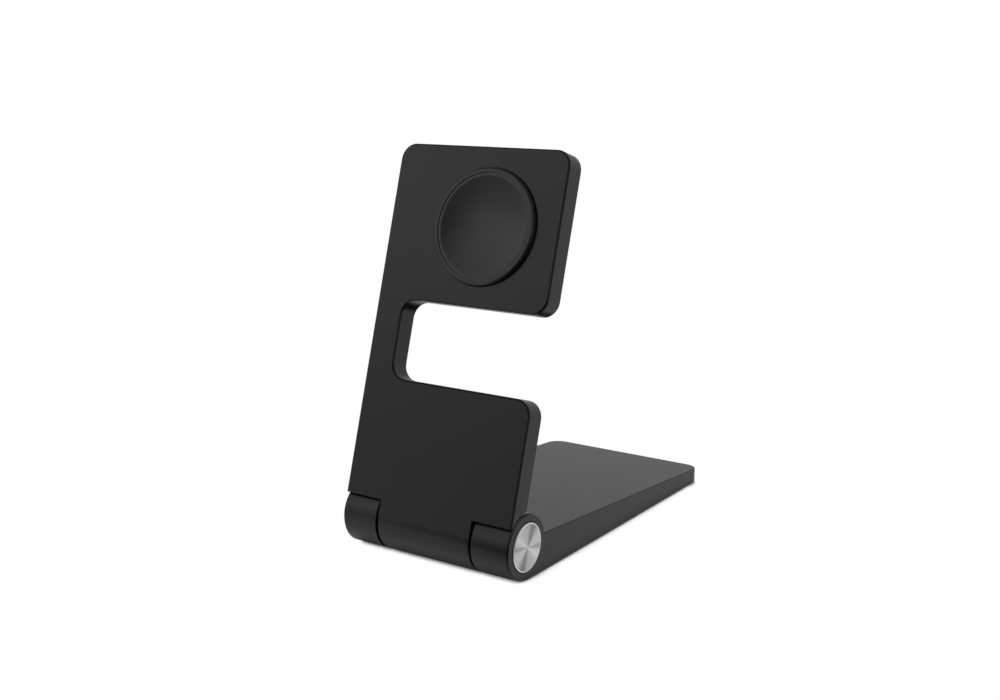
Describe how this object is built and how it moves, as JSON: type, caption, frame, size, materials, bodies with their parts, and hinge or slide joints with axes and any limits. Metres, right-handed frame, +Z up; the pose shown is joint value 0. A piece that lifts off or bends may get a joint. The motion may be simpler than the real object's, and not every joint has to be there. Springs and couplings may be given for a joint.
{
  "type": "smartwatch charging cradle",
  "caption": "Folding charging stand: wedge base, knuckle hinge with spun end discs and a leaning C-shaped plate that carries a dished magnetic charging puck above a strap gap.",
  "frame": {"origin": "middle of the footprint, on the underside of the non-slip pad", "axes": "+Z up, +X along the hinge to the viewer's right, +Y from the hinge back along the base"},
  "size_m": [0.049, 0.0986, 0.0974],
  "materials": {
    "body_black": "fine matte black anodised",
    "cover_black": "fine grained moulding",
    "disc_metal": "spun with circular brush lines",
    "pad_rubber": "matte",
    "puck_plastic": "smooth satin moulding",
    "puck_gloss": "polished dish",
    "steel": "turned",
    "ballast_steel": "sheared plate",
    "sleeve_bronze": "sintered",
    "washer_plastic": "natural",
    "board_green": "solder mask",
    "coil_copper": "enamelled winding",
    "ferrite": "sintered",
    "magnet_plate": "nickel plated",
    "socket_metal": "plated sheet",
    "tongue_plastic": "moulded",
    "lead_sheath": "smooth"
  },
  "bodies": {
    "base": {"base_shell": "body_black", "base_bottom_cover": "cover_black", "rubber_pad": "pad_rubber", "bottom_cover_screws": "steel", "ballast_plate": "ballast_steel", "inlet_board": "board_green", "inlet_board_screws": "steel", "inlet_socket": "socket_metal", "inlet_tongue": "tongue_plastic", "hinge_pin_left": "steel", "hinge_pin_right": "steel", "hinge_cap_left": "disc_metal", "hinge_cap_right": "disc_metal", "base_lead": "lead_sheath"},
    "upright": {"upright_shell": "body_black", "rear_cover": "cover_black", "friction_sleeve_left": "sleeve_bronze", "friction_sleeve_right": "sleeve_bronze", "thrust_washer_left": "washer_plastic", "thrust_washer_right": "washer_plastic", "puck_housing": "puck_plastic", "puck_face": "puck_gloss", "charging_coil": "coil_copper", "ferrite_shield": "ferrite", "alignment_magnet": "magnet_plate", "charger_board": "board_green", "puck_screws": "steel", "upright_lead": "lead_sheath"}
  },
  "joints": [
    {"name": "fold", "type": "hinge", "parent": "base", "child": "upright", "pos_m": [0, -0.04133, 0.00825], "axis": [-1, 0, 0], "range_deg": [0, 77.4]}
  ]
}
